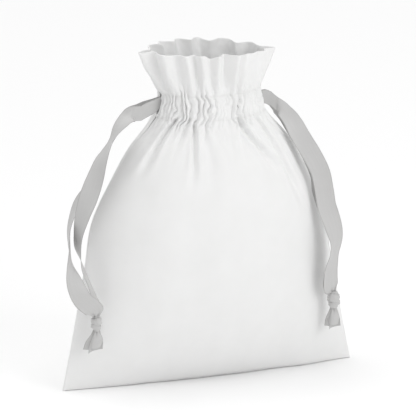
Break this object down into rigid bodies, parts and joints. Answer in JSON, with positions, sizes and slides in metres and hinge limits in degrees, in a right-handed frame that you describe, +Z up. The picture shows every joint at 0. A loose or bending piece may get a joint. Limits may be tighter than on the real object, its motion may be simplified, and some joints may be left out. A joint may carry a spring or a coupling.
{
  "type": "drawstring gift pouch",
  "caption": "Partly gathered cotton drawstring pouch with a ruffled header, a stitched channel and a knotted satin ribbon loop at each side.",
  "frame": {"origin": "middle of the base, on the surface that the pouch stands on; the ribbons are left out of it", "axes": "+Z up through the mouth, X across the pouch from side seam to side seam, the front panel faces -Y"},
  "size_m": [0.2554, 0.0882, 0.2634],
  "materials": {
    "cotton": "matte",
    "thread": "matte",
    "satin": "satin"
  },
  "bodies": {
    "pouch": {"front_panel": "cotton", "back_panel": "cotton", "left_side_seam": "cotton", "right_side_seam": "cotton", "bottom_seam": "cotton", "front_channel_upper_stitching": "thread", "front_channel_lower_stitching": "thread", "back_channel_upper_stitching": "thread", "back_channel_lower_stitching": "thread", "left_slit_bartack": "thread", "right_slit_bartack": "thread"},
    "left_drawstring": {"left_ribbon_channel_run": "satin"},
    "left_ribbon_loop": {"left_ribbon_inner_strand": "satin", "left_ribbon_outer_strand": "satin", "left_ribbon_knot": "satin", "left_ribbon_front_tail": "satin", "left_ribbon_back_tail": "satin"},
    "right_drawstring": {"right_ribbon_channel_run": "satin"},
    "right_ribbon_loop": {"right_ribbon_front_strand": "satin", "right_ribbon_back_strand": "satin", "right_ribbon_knot": "satin", "right_ribbon_front_tail": "satin", "right_ribbon_back_tail": "satin"}
  },
  "joints": [
    {"name": "left_ribbon_pull", "type": "slide", "parent": "pouch", "child": "left_drawstring", "axis": [-1, 0, 0], "range_m": [0, 0.02], "deforming": ["left_ribbon_channel_run"]},
    {"name": "left_loop_swing", "type": "hinge", "parent": "left_drawstring", "child": "left_ribbon_loop", "pos_m": [-0.0575, 0, 0.2168], "axis": [0, 1, 0], "range_deg": [0, 75]},
    {"name": "right_ribbon_pull", "type": "slide", "parent": "pouch", "child": "right_drawstring", "axis": [1, 0, 0], "range_m": [0, 0.02], "deforming": ["right_ribbon_channel_run"]},
    {"name": "right_loop_swing", "type": "hinge", "parent": "right_drawstring", "child": "right_ribbon_loop", "pos_m": [0.0575, 0, 0.213], "axis": [0, -1, 0], "range_deg": [0, 75]}
  ],
  "couplings": [
    {"joint": "right_ribbon_pull", "follows": "left_ribbon_pull", "ratio": 1}
  ]
}
